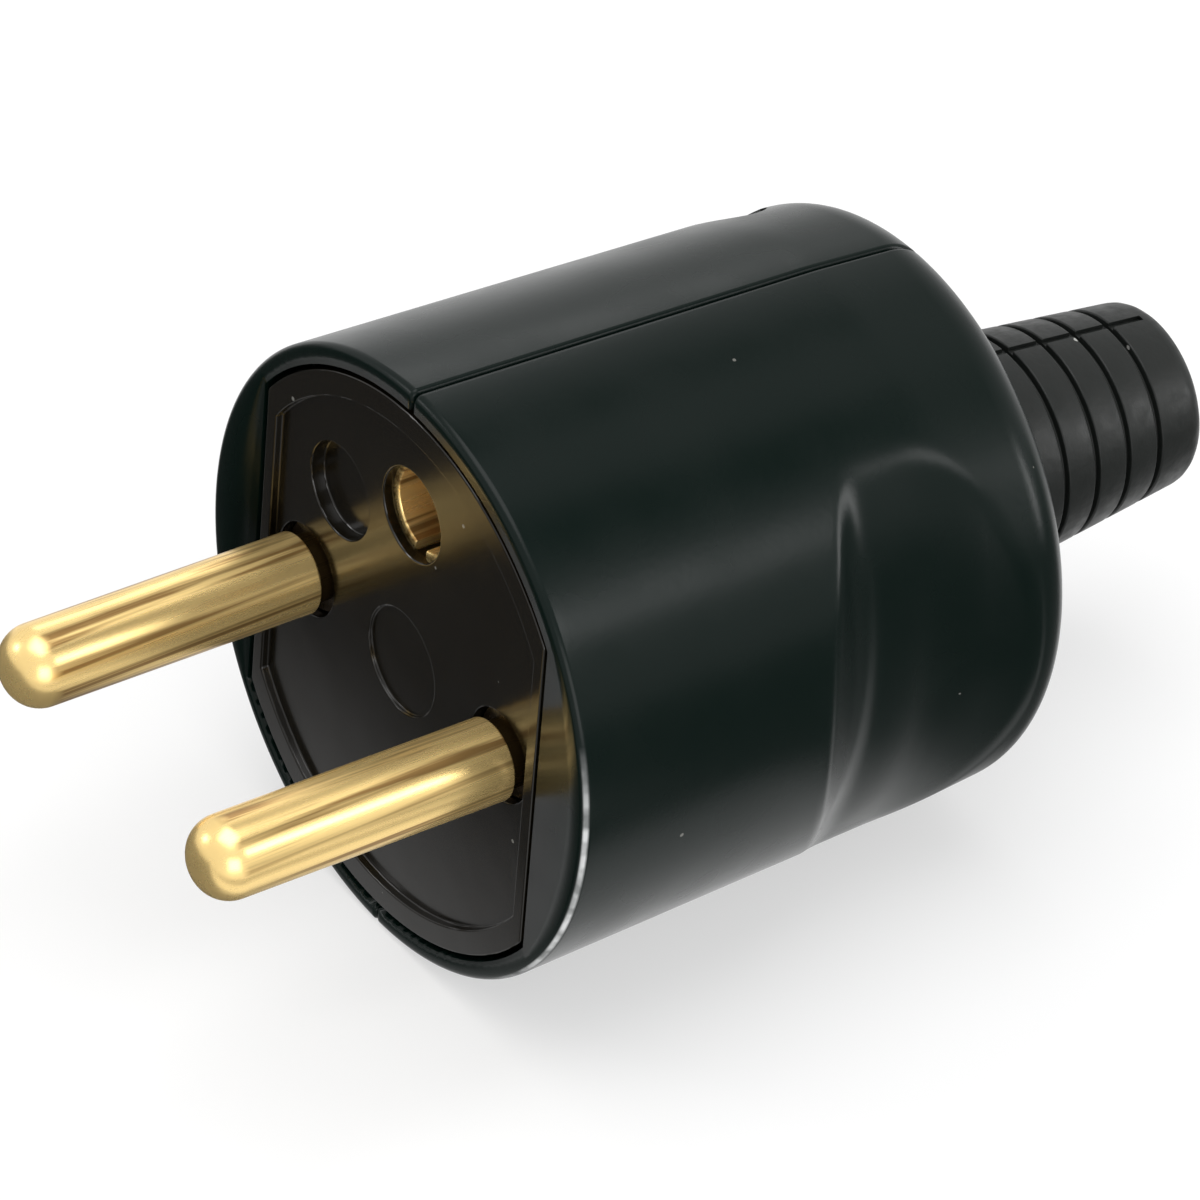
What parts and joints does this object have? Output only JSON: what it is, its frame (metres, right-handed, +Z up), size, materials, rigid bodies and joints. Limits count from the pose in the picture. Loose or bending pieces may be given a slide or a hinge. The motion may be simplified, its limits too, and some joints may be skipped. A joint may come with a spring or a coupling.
{
  "type": "mains plug",
  "caption": "Round mains plug with solid brass pins, an earth socket in its face, a split tapered body with thumb recesses and a ribbed rubber cable sleeve.",
  "frame": {"origin": "centre of the engagement face, on the line between the pins' middles", "axes": "+X along the line of the pins, -Y the way the pins point, +Z up as the plug lies on the lower seam of its tapered body; the body's axis falls by the taper, 2 degrees, towards the cord"},
  "size_m": [0.0366, 0.0711, 0.0366],
  "materials": {
    "body_plastic": "polished black moulding",
    "plate_plastic": "glossy brown-black moulding",
    "block_plastic": "plain moulded",
    "brass": "turned and polished",
    "steel": "zinc plated",
    "sleeve_rubber": "satin black"
  },
  "bodies": {
    "root": {"block_screw_left": "steel", "block_screw_lower": "steel", "block_screw_right": "steel", "cable_sleeve": "sleeve_rubber", "clamp_nut_lower": "steel", "clamp_nut_upper": "steel", "clamp_screw_lower": "steel", "clamp_screw_upper": "steel", "cord_clamp_bar": "block_plastic", "earth_contact": "brass", "earth_spring_ring": "steel", "earth_terminal_screw": "steel", "left_pin": "brass", "left_terminal_screw": "steel", "pin_carrier": "plate_plastic", "right_pin": "brass", "right_terminal_screw": "steel", "shell_insert_lower": "brass", "shell_insert_upper": "brass", "shell_left": "body_plastic", "shell_right": "body_plastic", "shell_screw_lower": "steel", "shell_screw_upper": "steel", "terminal_block": "block_plastic"}
  },
  "joints": []
}
